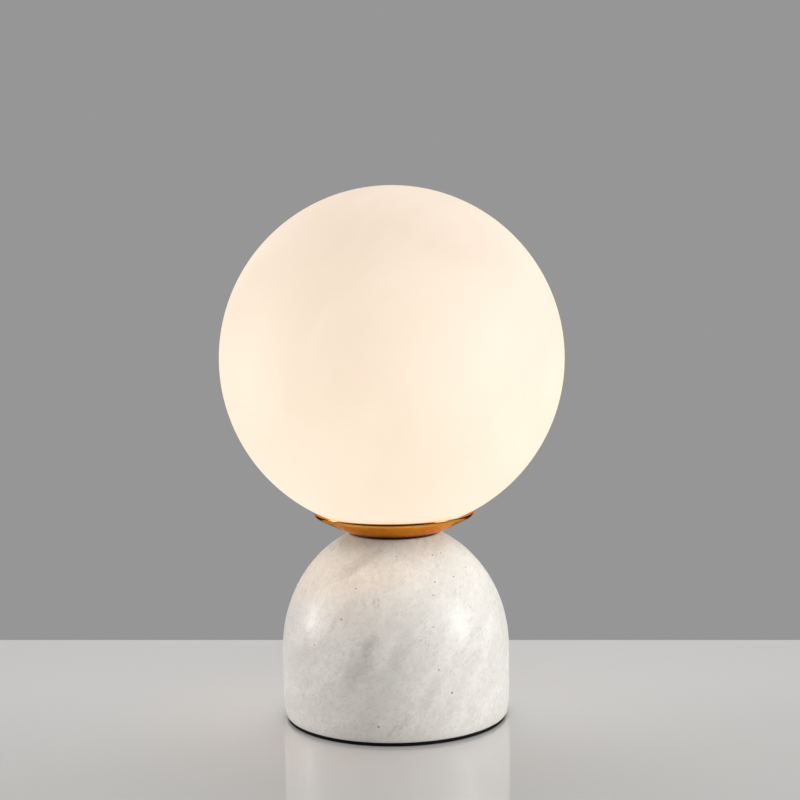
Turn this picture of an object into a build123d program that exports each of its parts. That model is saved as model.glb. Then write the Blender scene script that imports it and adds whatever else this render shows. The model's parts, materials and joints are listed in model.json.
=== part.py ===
from build123d import *

import os
from math import acos, degrees, pi, radians, sqrt, tan

# A table lamp: an opal glass globe that rests in a shallow brass dish on a domed marble base.
# Millimetres, +Z up, front towards -Y. The origin is the centre of the foot pad's underside,
# and the supply cord's inlet is at the back.

# ---- General clearances (radial unless a comment says otherwise)
THREAD_GAP = 0.05
SCREW_GAP = 0.05
FIT_GAP = 0.2
REST_GAP = 0.3          # between pieces that lift or turn out and what they rest on
WIRE_GAP = 0.25

# ---- Foot pad
PAD_THICKNESS = 2.6
PAD_INSET = 0.3         # how far the pad's edge lies inside the stone's foot
PAD_EDGE_ROUND = 0.5

# ---- Marble base
BASE_RADIUS = 83.3
BASE_HEIGHT = 133.1
FOOT_TUCK = 2.5         # how far the foot draws in
FOOT_CURVE_HEIGHT = 19.6
WALL_HEIGHT = 49.0      # height of the stone at which the wall turns into the dome
FLAT_MARGIN = 1.2       # the flat top reaches this far past the dish's floor
TOP_EDGE_ROUND = 0.8
CAVITY_RADIUS = 45.0
CAVITY_DEPTH = 37.6
CAVITY_CORNER = 3.0
TUBE_HOLE_MARGIN = 1.0

# ---- Cord inlet at the back of the stone
INLET_HEIGHT = 15.0
INLET_BORE_RADIUS = 3.2
BUSH_WALL = 1.9
BUSH_LENGTH = 12.0
BUSH_FLANGE_RADIUS = 7.4
BUSH_FLANGE_THICKNESS = 1.4
BUSH_EDGE_ROUND = 0.4
SPOT_DEPTH = 1.85       # the flange's seat lies this far inside the stone's widest radius

# ---- Brass dish and the gasket under it
GASKET_THICKNESS = 1.1
GASKET_INSET = 1.0
DISH_FLOOR_RADIUS = 32.0
DISH_SHARE = 0.467      # the dish's rim radius over the globe's radius
DEPTH_SHARE = 0.1176    # the dish's depth over the globe's radius
DISH_LIP = 2.4
DISH_WALL = 1.1
BOWL_RADIUS = 159.0     # of the dish's sloping wall in section
LIP_BEND = 2.7          # on the outside, where the sloping wall turns into the lip
RIM_ROUND = 0.45
FLOOR_BEND = 3.0

# ---- Opal glass globe and its seat
GLOBE_RADIUS = 125.0
GLOBE_WALL = 2.6
OPENING_SHARE = 0.32    # the opening's radius over the globe's
RIM_GAP = 1.6           # between the glass and the dish's lip, level with the top of the lip
NECK_ROUND = 0.7
SEAL_EDGE = 1.0         # the seat ring's thickness at its outer edge
SEAL_INNER_MARGIN = 1.0
SEAL_OUTER_MARGIN = 1.6

# ---- Threaded tube, its nuts, washers and plates
TUBE_RADIUS = 5.0
TUBE_BORE_RADIUS = 4.0
TUBE_TAIL = 3.0         # below the lower nut
TUBE_HEAD = 1.6         # above the floor of the holder's cap
NUT_ACROSS_FLATS = 14.0
NUT_HEIGHT = 4.0
NUT_CHAMFER = 0.7
WASHER_RADIUS = 9.0
WASHER_THICKNESS = 0.8
WASHER_TEETH = 12
TOOTH_DEPTH = 1.6
TOOTH_GAP = 2.0
PLATE_RADIUS = 40.0
PLATE_THICKNESS = 2.0
END_BUSH_BORE_RADIUS = 3.2
END_BUSH_LENGTH = 5.0
END_BUSH_FLANGE_RADIUS = 6.2
END_BUSH_FLANGE_THICKNESS = 1.5

# ---- Terminal block under the clamp plate
BLOCK_START = 17.0      # from the lamp's axis to the block's near face
BLOCK_DEPTH = 17.0
BLOCK_HEIGHT = 12.0
POLE_PITCH = 10.0
POLE_COUNT = 3
BLOCK_BORE_RADIUS = 2.2
CLAMP_BORE_RADIUS = 1.4
CLAMP_RECESS = 1.0
CLAMP_SCREW_RADIUS = 1.5
CLAMP_SCREW_SPACING = 9.0
CLAMP_SCREW_RECESS = 0.4
FIXING_SCREW_RADIUS = 1.5
FIXING_HEAD_RADIUS = 2.6
FIXING_HEAD_HEIGHT = 1.8
FIXING_HEAD_RECESS = 2.0

# ---- Earth connection on the clamp plate
EARTH_DISTANCE = 24.0
EARTH_SCREW_RADIUS = 2.0
EARTH_HEAD_RADIUS = 3.6
EARTH_HEAD_HEIGHT = 2.6
TAG_RADIUS = 4.4
TAG_THICKNESS = 0.8
TAG_BARREL_RADIUS = 1.8
TAG_BARREL_START = 4.0
TAG_BARREL_LENGTH = 6.0

# ---- Leads
LEAD_RADIUS = 1.1
LEAD_SPREAD = 1.4       # from the tube's axis to each lead inside it
LEAD_GRIP = 6.5         # how far a lead reaches into the terminal block
LEAD_EXIT = 5.0         # how far it runs straight out of the block before it turns
LEAD_LOW_HEIGHT = 10.6  # of the loop's lowest run, above the pad
BEND_SHARE = 0.45       # share of the shorter run that a bend may use

# ---- Lampholder for a 27 mm screw cap
HOLDER_RADIUS = 20.5
HOLDER_WALL = 1.6
BOSS_RADIUS = 9.0
BOSS_HEIGHT = 5.0
CAP_FLOOR = 3.0
CAP_FLOOR_RADIUS = 8.2
SHOULDER_RISE = 8.0
SKIRT_HEIGHT = 9.0
SPIGOT_HEIGHT = 5.0
SPIGOT_WALL = 2.0
BOSS_ROUND = 1.5
SHOULDER_ROUND = 3.0
LOCK_SCREW_RADIUS = 1.5
INSERT_BODY_RADIUS = 14.5
INSERT_BODY_HEIGHT = 8.0
INSERT_FLANGE_HEIGHT = 5.0
INSERT_CUP_WALL = 2.0
SHELL_BORE_RADIUS = 13.4
SHELL_WALL = 0.4
SHELL_HEIGHT = 24.0
SHELL_OPENING_RADIUS = 9.5
SLEEVE_HEIGHT = 36.6
SLEEVE_TAPER = 0.7
SLEEVE_LIP = 2.0
SLEEVE_TOP_ROUND = 0.8
TERMINAL_RADIUS = 8.0   # from the axis to each lead's hole in the insert
TERMINAL_HOLE_DEPTH = 6.0
TERMINAL_SCREW_RADIUS = 1.25
TERMINAL_HEAD_RADIUS = 2.2
TERMINAL_HEAD_HEIGHT = 1.6
CONTACT_WIDTH = 6.0
CONTACT_THICKNESS = 0.5
CONTACT_RISE = 3.3
CONTACT_FOOT_START = -8.0    # the strip's corners, across from the lamp's axis
CONTACT_FOOT_END = -3.2
CONTACT_CROWN_START = -0.8
CONTACT_CROWN_END = 2.8
CONTACT_TAIL_END = 5.6
CONTACT_TAIL_RISE = 1.65

# ---- Bulb
BULB_RADIUS = 30.0
BULB_LENGTH = 108.0
DIFFUSER_WALL = 1.2
DIFFUSER_DROP = 17.0    # from the diffuser's centre down to its lower edge
BODY_WALL = 1.7
BODY_NECK_RADIUS = 13.6
SCREW_CAP_RADIUS = 13.05
SCREW_CAP_WALL = 0.5
SCREW_CAP_TOP = 26.0    # this and the next four are measured from the bulb's lowest point
SCREW_CAP_SHOULDER = 7.4
SCREW_CAP_BOTTOM = 4.6
INSULATOR_BOTTOM = 1.2
BODY_SPIGOT_BOTTOM = 20.0
SCREW_CAP_MOUTH = 11.05
TIP_RADIUS = 4.75
INSULATOR_FOOT_RADIUS = 5.6
INSULATOR_DEPTH = 2.0
BOARD_RADIUS = 19.8
BOARD_THICKNESS = 1.6
BOARD_DROP = 2.0        # from the body's top edge down to the light board's top
DRIVER_WIDTH = 17.0
DRIVER_THICKNESS = 1.2
DRIVER_START = 9.0
CAPACITOR_RADIUS = 3.8
CAPACITOR_LENGTH = 12.0
CHOKE_SIZE = 7.0
CHOKE_DEPTH = 4.5
DRIVER_PART_START = 30.0
DRIVER_PART_SINK = 0.2

# ---- Heights that follow from the sizes above
STONE_Z = PAD_THICKNESS
STONE_TOP_Z = STONE_Z + BASE_HEIGHT
WALL_TOP_Z = STONE_Z + WALL_HEIGHT
CEILING_Z = STONE_Z + CAVITY_DEPTH
PLATE_Z = CEILING_Z - PLATE_THICKNESS
LOWER_WASHER_Z = PLATE_Z - WASHER_THICKNESS
LOWER_NUT_Z = LOWER_WASHER_Z - NUT_HEIGHT
TUBE_Z = LOWER_NUT_Z - TUBE_TAIL
DISH_Z = STONE_TOP_Z + GASKET_THICKNESS
DISH_FLOOR_Z = DISH_Z + DISH_WALL
RIM_Z = DISH_Z + DEPTH_SHARE * GLOBE_RADIUS
LIP_Z = RIM_Z - DISH_LIP
UPPER_NUT_Z = DISH_FLOOR_Z + WASHER_THICKNESS
HOLDER_Z = UPPER_NUT_Z + NUT_HEIGHT
CAP_FLOOR_Z = HOLDER_Z + BOSS_HEIGHT + CAP_FLOOR
TUBE_TOP_Z = CAP_FLOOR_Z + TUBE_HEAD
SHOULDER_Z = HOLDER_Z + BOSS_HEIGHT + SHOULDER_RISE
SLEEVE_Z = SHOULDER_Z + SKIRT_HEIGHT
INSERT_SEAT_Z = SLEEVE_Z + SPIGOT_HEIGHT
INSERT_BODY_Z = INSERT_SEAT_Z - INSERT_BODY_HEIGHT
SHELL_Z = INSERT_SEAT_Z + INSERT_FLANGE_HEIGHT
SLEEVE_TOP_Z = SLEEVE_Z + SLEEVE_HEIGHT
CONTACT_TOP_Z = SHELL_Z + CONTACT_RISE
BULB_Z = CONTACT_TOP_Z + REST_GAP
DIFFUSER_Z = BULB_Z + BULB_LENGTH - BULB_RADIUS
BODY_TOP_Z = DIFFUSER_Z - DIFFUSER_DROP
BOARD_TOP_Z = BODY_TOP_Z - BOARD_DROP
BOARD_Z = BOARD_TOP_Z - BOARD_THICKNESS
BLOCK_Z = PLATE_Z - BLOCK_HEIGHT
WIRE_Z = BLOCK_Z + BLOCK_HEIGHT / 2
TAG_Z = PLATE_Z - TAG_THICKNESS
BARREL_Z = PLATE_Z - TAG_BARREL_RADIUS - FIT_GAP

# ---- Radii and places that follow from them
FOOT_RADIUS = BASE_RADIUS - FOOT_TUCK
DISH_RIM_RADIUS = DISH_SHARE * GLOBE_RADIUS
OPENING_RADIUS = OPENING_SHARE * GLOBE_RADIUS
TOP_FLAT_RADIUS = DISH_FLOOR_RADIUS + FLAT_MARGIN
TUBE_HOLE_RADIUS = TUBE_RADIUS + THREAD_GAP
SPOT_FACE_Y = BASE_RADIUS - SPOT_DEPTH
NECK_RADIUS = OPENING_RADIUS + GLOBE_WALL
SEAL_INNER_RADIUS = OPENING_RADIUS - SEAL_INNER_MARGIN
SEAL_OUTER_RADIUS = NECK_RADIUS + SEAL_OUTER_MARGIN
SLEEVE_BORE_RADIUS = HOLDER_RADIUS - HOLDER_WALL
SPIGOT_RADIUS = SLEEVE_BORE_RADIUS - FIT_GAP
CHAMBER_RADIUS = SPIGOT_RADIUS - SPIGOT_WALL
INSERT_FLANGE_RADIUS = SLEEVE_BORE_RADIUS - FIT_GAP
SHELL_RADIUS = SHELL_BORE_RADIUS + SHELL_WALL
INSERT_CUP_BORE = SHELL_RADIUS + FIT_GAP
BLOCK_MIDDLE_Y = BLOCK_START + BLOCK_DEPTH / 2
POLE_XS = [POLE_PITCH * (i - (POLE_COUNT - 1) / 2) for i in range(POLE_COUNT)]
FIXING_XS = [(a + b) / 2 for a, b in zip(POLE_XS, POLE_XS[1:])]
EARTH_POINT = Vector(-EARTH_DISTANCE, 0, 0)
OVERSHOOT = 1.0         # how far a cutting shape reaches past the face that it cuts


# ---- Shapes used throughout: profiles are drawn with X as the radius and Y as the height

def band(inner, outer, low, high):
    return Pos((inner + outer) / 2, (low + high) / 2) * Rectangle(outer - inner, high - low)


def turned(profile):
    return revolve(Plane.XZ * profile, Axis.Z)


def ring(inner, outer, low, high):
    return turned(band(inner, outer, low, high))


def outline(*points):
    return make_face(Polyline(*points, close=True))


def softened(profile, *corners):
    """Rounds the corner nearest to each (radius, height) by the third number given."""
    for across, up, size in corners:
        profile = fillet(profile.vertices().sort_by_distance((across, up, 0))[0], size)
    return profile


def rod(radius, start, end):
    """A round bar from one point to another."""
    axis = Vector(*end) - Vector(*start)
    base = Plane(origin=start, z_dir=axis)
    return base * Cylinder(radius, axis.length, align=(Align.CENTER, Align.CENTER, Align.MIN))


def group(solids):
    return Compound(children=[solid.solid() for solid in solids])


# ---- Base

def make_base_pad():
    profile = band(0, FOOT_RADIUS - PAD_INSET, 0, PAD_THICKNESS)
    return turned(softened(profile, (FOOT_RADIUS - PAD_INSET, 0, PAD_EDGE_ROUND)))


def make_marble_base():
    """A turned stone: drawn-in foot, upright wall and an elliptical dome, cut flat on top."""
    flat_share = TOP_FLAT_RADIUS / BASE_RADIUS
    foot_centre = (FOOT_RADIUS, STONE_Z + FOOT_CURVE_HEIGHT)
    foot = EllipticalCenterArc(foot_centre, FOOT_TUCK, FOOT_CURVE_HEIGHT, start_angle=-90, arc_size=90)
    dome_height = (STONE_TOP_Z - WALL_TOP_Z) / sqrt(1 - flat_share ** 2)
    dome_angle = degrees(acos(flat_share))
    dome = EllipticalCenterArc((0, WALL_TOP_Z), BASE_RADIUS, dome_height, arc_size=dome_angle)
    dome = dome.to_splines().edge()
    profile = make_face([
        Line((0, STONE_Z), foot @ 0),
        foot,
        Line(foot @ 1, dome @ 0),
        dome,
        Line(dome @ 1, (0, STONE_TOP_Z)),
        Line((0, STONE_TOP_Z), (0, STONE_Z)),
    ])
    profile = softened(profile, (TOP_FLAT_RADIUS, STONE_TOP_Z, TOP_EDGE_ROUND))
    cavity = band(0, CAVITY_RADIUS, STONE_Z - OVERSHOOT, CEILING_Z)
    profile -= softened(cavity, (CAVITY_RADIUS, CEILING_Z, CAVITY_CORNER))
    profile -= band(0, TUBE_RADIUS + TUBE_HOLE_MARGIN, CEILING_Z, STONE_TOP_Z)
    channel_radius = INLET_BORE_RADIUS + BUSH_WALL + FIT_GAP
    channel_start = (0, CAVITY_RADIUS - 2 * channel_radius, INLET_HEIGHT)
    channel_end = (0, BASE_RADIUS + OVERSHOOT, INLET_HEIGHT)
    seat_start = (0, SPOT_FACE_Y, INLET_HEIGHT)
    stone = turned(profile) - rod(channel_radius, channel_start, channel_end)
    return stone - rod(BUSH_FLANGE_RADIUS + FIT_GAP, seat_start, channel_end)


def make_cable_bush():
    """A flanged sleeve in the stone, its bore open to the back."""
    outer = INLET_BORE_RADIUS + BUSH_WALL
    profile = band(INLET_BORE_RADIUS, outer, -BUSH_LENGTH, 0)
    profile += band(INLET_BORE_RADIUS, BUSH_FLANGE_RADIUS, 0, BUSH_FLANGE_THICKNESS)
    profile = softened(
        profile,
        (INLET_BORE_RADIUS, BUSH_FLANGE_THICKNESS, BUSH_EDGE_ROUND),
        (BUSH_FLANGE_RADIUS, BUSH_FLANGE_THICKNESS, BUSH_EDGE_ROUND),
        (INLET_BORE_RADIUS, -BUSH_LENGTH, BUSH_EDGE_ROUND),
    )
    return Plane(origin=(0, SPOT_FACE_Y, INLET_HEIGHT), z_dir=(0, 1, 0)) * turned(profile)


# ---- Tube and clamping hardware

def make_threaded_tube():
    return ring(TUBE_BORE_RADIUS, TUBE_RADIUS, TUBE_Z, TUBE_TOP_Z)


def make_nut(height):
    corner_radius = NUT_ACROSS_FLATS / sqrt(3)
    blank = Pos(0, 0, height) * extrude(RegularPolygon(corner_radius, 6), NUT_HEIGHT)
    envelope = band(TUBE_HOLE_RADIUS, corner_radius, height, height + NUT_HEIGHT)
    corners = envelope.vertices().group_by(Axis.X)[-1]
    return blank & turned(chamfer(corners, NUT_CHAMFER))


def make_lock_washer(height):
    """A washer whose rim is cut into teeth."""
    washer = ring(TUBE_HOLE_RADIUS, WASHER_RADIUS, height, height + WASHER_THICKNESS)
    gap = Pos(WASHER_RADIUS, 0, height) * Box(2 * TOOTH_DEPTH, TOOTH_GAP, 4 * WASHER_THICKNESS)
    for i in range(WASHER_TEETH):
        washer -= Rot(0, 0, 360 * i / WASHER_TEETH) * gap
    return washer


def make_clamp_plate():
    plate = ring(TUBE_HOLE_RADIUS, PLATE_RADIUS, PLATE_Z, CEILING_Z)
    low = (0, 0, PLATE_Z - OVERSHOOT)
    high = (0, 0, CEILING_Z + OVERSHOOT)
    for x in FIXING_XS:
        plate -= Pos(x, BLOCK_MIDDLE_Y) * rod(FIXING_SCREW_RADIUS + SCREW_GAP, low, high)
    return plate - Pos(EARTH_POINT) * rod(EARTH_SCREW_RADIUS + SCREW_GAP, low, high)


def make_tube_end_bush():
    flange_low = TUBE_Z - END_BUSH_FLANGE_THICKNESS
    profile = band(END_BUSH_BORE_RADIUS, END_BUSH_FLANGE_RADIUS, flange_low, TUBE_Z)
    spigot_radius = TUBE_BORE_RADIUS - THREAD_GAP
    profile += band(END_BUSH_BORE_RADIUS, spigot_radius, TUBE_Z, TUBE_Z + END_BUSH_LENGTH)
    return turned(softened(profile, (END_BUSH_BORE_RADIUS, flange_low, BUSH_EDGE_ROUND)))


# ---- Terminal block and earth connection

def clamp_screw_places():
    offsets = (-CLAMP_SCREW_SPACING / 2, CLAMP_SCREW_SPACING / 2)
    return [(x, BLOCK_MIDDLE_Y + offset) for x in POLE_XS for offset in offsets]


def make_terminal_block():
    """An insulating strip with a wire bore for each pole, opened from below for its screws."""
    width = POLE_COUNT * POLE_PITCH
    block = Pos(0, BLOCK_MIDDLE_Y, WIRE_Z) * Box(width, BLOCK_DEPTH, BLOCK_HEIGHT)
    front = BLOCK_START - OVERSHOOT
    back = BLOCK_START + BLOCK_DEPTH + OVERSHOOT
    for x in POLE_XS:
        block -= rod(BLOCK_BORE_RADIUS, (x, front, WIRE_Z), (x, back, WIRE_Z))
    for x, y in clamp_screw_places():
        block -= rod(CLAMP_SCREW_RADIUS + FIT_GAP, (x, y, BLOCK_Z - OVERSHOOT), (x, y, WIRE_Z))
    for x in FIXING_XS:
        low = (x, BLOCK_MIDDLE_Y, BLOCK_Z - OVERSHOOT)
        seat = (x, BLOCK_MIDDLE_Y, BLOCK_Z + FIXING_HEAD_RECESS)
        block -= rod(FIXING_SCREW_RADIUS + SCREW_GAP, low, (x, BLOCK_MIDDLE_Y, PLATE_Z))
        block -= rod(FIXING_HEAD_RADIUS + SCREW_GAP, low, seat)
    return block


def make_terminal_clamps():
    """A brass sleeve for each pole, with a tapped hole for each of its two screws."""
    front = BLOCK_START + CLAMP_RECESS
    back = BLOCK_START + BLOCK_DEPTH - CLAMP_RECESS
    clamps = []
    for x in POLE_XS:
        start = (x, front, WIRE_Z)
        end = (x, back, WIRE_Z)
        clamp = rod(BLOCK_BORE_RADIUS - SCREW_GAP, start, end) - rod(CLAMP_BORE_RADIUS, start, end)
        for y in (BLOCK_MIDDLE_Y - CLAMP_SCREW_SPACING / 2, BLOCK_MIDDLE_Y + CLAMP_SCREW_SPACING / 2):
            clamp -= rod(CLAMP_SCREW_RADIUS + SCREW_GAP, (x, y, BLOCK_Z), (x, y, WIRE_Z))
        clamps.append(clamp)
    return group(clamps)


def make_terminal_screws():
    tip = WIRE_Z - LEAD_RADIUS - SCREW_GAP
    foot = BLOCK_Z + CLAMP_SCREW_RECESS
    return group([rod(CLAMP_SCREW_RADIUS, (x, y, foot), (x, y, tip)) for x, y in clamp_screw_places()])


def make_block_fixing_screws():
    screws = []
    for x in FIXING_XS:
        seat = BLOCK_Z + FIXING_HEAD_RECESS
        head_low = (x, BLOCK_MIDDLE_Y, seat - FIXING_HEAD_HEIGHT)
        head_high = (x, BLOCK_MIDDLE_Y, seat)
        tip = (x, BLOCK_MIDDLE_Y, CEILING_Z - FIT_GAP)
        screws.append(rod(FIXING_HEAD_RADIUS, head_low, head_high) + rod(FIXING_SCREW_RADIUS, head_low, tip))
    return group(screws)


def earth_turn_point():
    """Where the earth lead turns after it leaves the block."""
    return Vector(0, BLOCK_START - LEAD_EXIT, 0)


def tag_point(distance, height):
    """A point on the tag's barrel line, at a distance from the earth screw."""
    direction = (earth_turn_point() - EARTH_POINT).normalized()
    return EARTH_POINT + direction * distance + Vector(0, 0, height)


def make_earth_tag():
    """A ring under the earth screw, with a crimped barrel that points to the block."""
    barrel_end = TAG_BARREL_START + TAG_BARREL_LENGTH
    tag = Pos(EARTH_POINT) * ring(EARTH_SCREW_RADIUS + SCREW_GAP, TAG_RADIUS, TAG_Z, PLATE_Z)
    start = tag_point(TAG_BARREL_START, BARREL_Z)
    end = tag_point(barrel_end, BARREL_Z)
    tag += rod(TAG_BARREL_RADIUS, start, end)
    return tag - rod(LEAD_RADIUS + SCREW_GAP, start, end)


def make_earth_screw():
    head = ring(0, EARTH_HEAD_RADIUS, TAG_Z - EARTH_HEAD_HEIGHT, TAG_Z)
    return Pos(EARTH_POINT) * (head + ring(0, EARTH_SCREW_RADIUS, TAG_Z, CEILING_Z - FIT_GAP))


# ---- Leads

def bend_radii(points):
    """The largest radius at each turn that its two runs leave room for."""
    runs = [b - a for a, b in zip(points, points[1:])]
    radii = []
    for before, after in zip(runs, runs[1:]):
        turn = radians(before.get_angle(after))
        radii.append(BEND_SHARE * min(before.length, after.length) / tan(turn / 2))
    return radii


def make_lead(name, points):
    radii = bend_radii(points)
    path = FilletPolyline(*points, radius=radii)
    lead = sweep(Plane(origin=path @ 0, z_dir=path % 0) * Circle(LEAD_RADIUS), path)
    section = pi * LEAD_RADIUS ** 2
    print(name, "radii", [round(r, 1) for r in radii], "length", round(path.length, 1),
          "volume over section times length", round(lead.volume / (section * path.length), 4))
    return lead


def make_tube_lead(name, side):
    """From an outer pole down in a loop, up through the tube and out to the holder's insert."""
    pole = side * POLE_PITCH
    near = side * LEAD_SPREAD
    far = side * TERMINAL_RADIUS
    turn_y = BLOCK_START - LEAD_EXIT
    low = PAD_THICKNESS + LEAD_LOW_HEIGHT
    high = (TUBE_TOP_Z + INSERT_BODY_Z) / 2 - LEAD_RADIUS
    end = INSERT_BODY_Z + TERMINAL_HOLE_DEPTH - LEAD_RADIUS
    points = [
        Vector(pole, BLOCK_START + LEAD_GRIP, WIRE_Z),
        Vector(pole, turn_y, WIRE_Z),
        Vector(pole, turn_y, low),
        Vector(near, 0, low),
        Vector(near, 0, high),
        Vector(far, 0, high),
        Vector(far, 0, end),
    ]
    return make_lead(name, points)


def make_lead_earth():
    barrel_end = TAG_BARREL_START + TAG_BARREL_LENGTH
    points = [
        Vector(0, BLOCK_START + LEAD_GRIP, WIRE_Z),
        earth_turn_point() + Vector(0, 0, WIRE_Z),
        tag_point(barrel_end + TAG_RADIUS, BARREL_Z),
        tag_point(barrel_end - TAG_BARREL_LENGTH / 2, BARREL_Z),
    ]
    return make_lead("lead_earth", points)


# ---- Dish, gasket and seat ring

def bowl_centre():
    """Centre of the circle that the dish's sloping wall follows in section."""
    across = DISH_RIM_RADIUS - DISH_FLOOR_RADIUS
    up = LIP_Z - DISH_Z
    chord = sqrt(across ** 2 + up ** 2)
    reach = sqrt(BOWL_RADIUS ** 2 - (chord / 2) ** 2)
    middle = (DISH_FLOOR_RADIUS + across / 2, DISH_Z + up / 2)
    return middle[0] - reach * up / chord, middle[1] + reach * across / chord


def bowl_height(radius, inset):
    """Height of the sloping wall at a radius: inset 0 is its outside, the wall its inside."""
    centre_r, centre_z = bowl_centre()
    return centre_z - sqrt((BOWL_RADIUS - inset) ** 2 - (radius - centre_r) ** 2)


def bowl_reach(height, inset):
    """Radius of the sloping wall at a height."""
    centre_r, centre_z = bowl_centre()
    return centre_r + sqrt((BOWL_RADIUS - inset) ** 2 - (centre_z - height) ** 2)


SEAT_Z = bowl_height(SEAL_OUTER_RADIUS, DISH_WALL) + SEAL_EDGE
GLOBE_RIM_RADIUS = DISH_RIM_RADIUS - DISH_WALL - RIM_GAP
GLOBE_Z = RIM_Z + sqrt(GLOBE_RADIUS ** 2 - GLOBE_RIM_RADIUS ** 2)


def bowl_disc(inset):
    return Pos(*bowl_centre()) * Circle(BOWL_RADIUS - inset)


def make_top_gasket():
    return ring(TUBE_HOLE_RADIUS, DISH_FLOOR_RADIUS - GASKET_INSET, STONE_TOP_Z, DISH_Z)


def make_dish():
    """A spun bowl: flat floor, gently curved sloping wall and a short upright lip."""
    inner_rim = DISH_RIM_RADIUS - DISH_WALL
    outside = bowl_disc(0) & band(0, DISH_RIM_RADIUS, DISH_Z, RIM_Z)
    inside = bowl_disc(DISH_WALL) & band(0, inner_rim, DISH_FLOOR_Z, RIM_Z + OVERSHOOT)
    profile = outside - inside - band(0, TUBE_HOLE_RADIUS, DISH_Z, DISH_FLOOR_Z)
    profile = softened(
        profile,
        (DISH_RIM_RADIUS, RIM_Z, RIM_ROUND),
        (inner_rim, RIM_Z, RIM_ROUND),
        (DISH_RIM_RADIUS, LIP_Z, LIP_BEND),
        (inner_rim, bowl_height(inner_rim, DISH_WALL), LIP_BEND - DISH_WALL),
        (DISH_FLOOR_RADIUS, DISH_Z, FLOOR_BEND),
        (bowl_reach(DISH_FLOOR_Z, DISH_WALL), DISH_FLOOR_Z, FLOOR_BEND),
    )
    return turned(profile)


def make_globe_seal():
    """A wedge-shaped ring: bedded on the dish's slope, flat on top for the glass."""
    wedge = band(SEAL_INNER_RADIUS, SEAL_OUTER_RADIUS, DISH_FLOOR_Z, SEAT_Z)
    return turned(wedge & bowl_disc(DISH_WALL))


# ---- Globe

def make_globe():
    """A blown ball with a short neck, ground flat where it rests on the seat ring."""
    neck_low = SEAT_Z + REST_GAP
    top = GLOBE_Z + GLOBE_RADIUS
    join = GLOBE_Z - sqrt((GLOBE_RADIUS - GLOBE_WALL) ** 2 - NECK_RADIUS ** 2)
    ball = Pos(0, GLOBE_Z) * (Circle(GLOBE_RADIUS) - Circle(GLOBE_RADIUS - GLOBE_WALL))
    profile = ball & band(0, GLOBE_RADIUS, neck_low, top)
    profile += band(OPENING_RADIUS, NECK_RADIUS, neck_low, join)
    profile -= band(0, OPENING_RADIUS, neck_low - OVERSHOOT, GLOBE_Z)
    corners = ((OPENING_RADIUS, neck_low, NECK_ROUND), (NECK_RADIUS, neck_low, NECK_ROUND))
    return turned(softened(profile, *corners))


# ---- Lampholder

def make_holder_cap():
    """A moulded cup that screws onto the tube and holds the leads' ends."""
    boss_top = HOLDER_Z + BOSS_HEIGHT
    chamber_wall_z = SHOULDER_Z + HOLDER_WALL
    profile = outline(
        (TUBE_HOLE_RADIUS, HOLDER_Z),
        (BOSS_RADIUS, HOLDER_Z),
        (BOSS_RADIUS, boss_top),
        (HOLDER_RADIUS, SHOULDER_Z),
        (HOLDER_RADIUS, SLEEVE_Z),
        (SPIGOT_RADIUS, SLEEVE_Z),
        (SPIGOT_RADIUS, INSERT_SEAT_Z),
        (CHAMBER_RADIUS, INSERT_SEAT_Z),
        (CHAMBER_RADIUS, chamber_wall_z),
        (CAP_FLOOR_RADIUS, CAP_FLOOR_Z),
        (TUBE_HOLE_RADIUS, CAP_FLOOR_Z),
    )
    profile = softened(profile, (BOSS_RADIUS, boss_top, BOSS_ROUND), (HOLDER_RADIUS, SHOULDER_Z, SHOULDER_ROUND))
    screw_z = HOLDER_Z + BOSS_HEIGHT / 2
    hole = rod(LOCK_SCREW_RADIUS + SCREW_GAP, (0, TUBE_RADIUS, screw_z), (0, 2 * BOSS_RADIUS, screw_z))
    return turned(profile) - hole


def make_holder_lock_screw():
    screw_z = HOLDER_Z + BOSS_HEIGHT / 2
    return rod(LOCK_SCREW_RADIUS, (0, TUBE_RADIUS + SCREW_GAP, screw_z), (0, BOSS_RADIUS, screw_z))


def make_holder_insert():
    """A ceramic cup for the screw shell, over a body with the two terminals."""
    cup_top = SLEEVE_TOP_Z - SLEEVE_LIP - REST_GAP
    cup_radius = INSERT_CUP_BORE + INSERT_CUP_WALL
    profile = band(0, INSERT_BODY_RADIUS, INSERT_BODY_Z, INSERT_SEAT_Z)
    profile += band(0, INSERT_FLANGE_RADIUS, INSERT_SEAT_Z, SHELL_Z)
    profile += band(INSERT_CUP_BORE, cup_radius, SHELL_Z, cup_top)
    insert = turned(profile)
    screw_z = INSERT_BODY_Z + TERMINAL_HOLE_DEPTH / 2
    head_x = INSERT_BODY_RADIUS - TERMINAL_HEAD_HEIGHT
    for side in (-1, 1):
        x = side * TERMINAL_RADIUS
        mouth = (x, 0, INSERT_BODY_Z - OVERSHOOT)
        insert -= rod(LEAD_RADIUS + WIRE_GAP, mouth, (x, 0, INSERT_BODY_Z + TERMINAL_HOLE_DEPTH))
        rim = (side * (INSERT_BODY_RADIUS + OVERSHOOT), 0, screw_z)
        insert -= rod(TERMINAL_SCREW_RADIUS + SCREW_GAP, (x, 0, screw_z), rim)
        insert -= rod(TERMINAL_HEAD_RADIUS + FIT_GAP, (side * head_x, 0, screw_z), rim)
    return insert


def make_holder_terminal_screws():
    screw_z = INSERT_BODY_Z + TERMINAL_HOLE_DEPTH / 2
    tip_x = TERMINAL_RADIUS + LEAD_RADIUS + SCREW_GAP
    head_x = INSERT_BODY_RADIUS - TERMINAL_HEAD_HEIGHT
    screws = []
    for side in (-1, 1):
        seat = (side * head_x, 0, screw_z)
        shank = rod(TERMINAL_SCREW_RADIUS, (side * tip_x, 0, screw_z), seat)
        screws.append(shank + rod(TERMINAL_HEAD_RADIUS, seat, (side * INSERT_BODY_RADIUS, 0, screw_z)))
    return group(screws)


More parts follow.
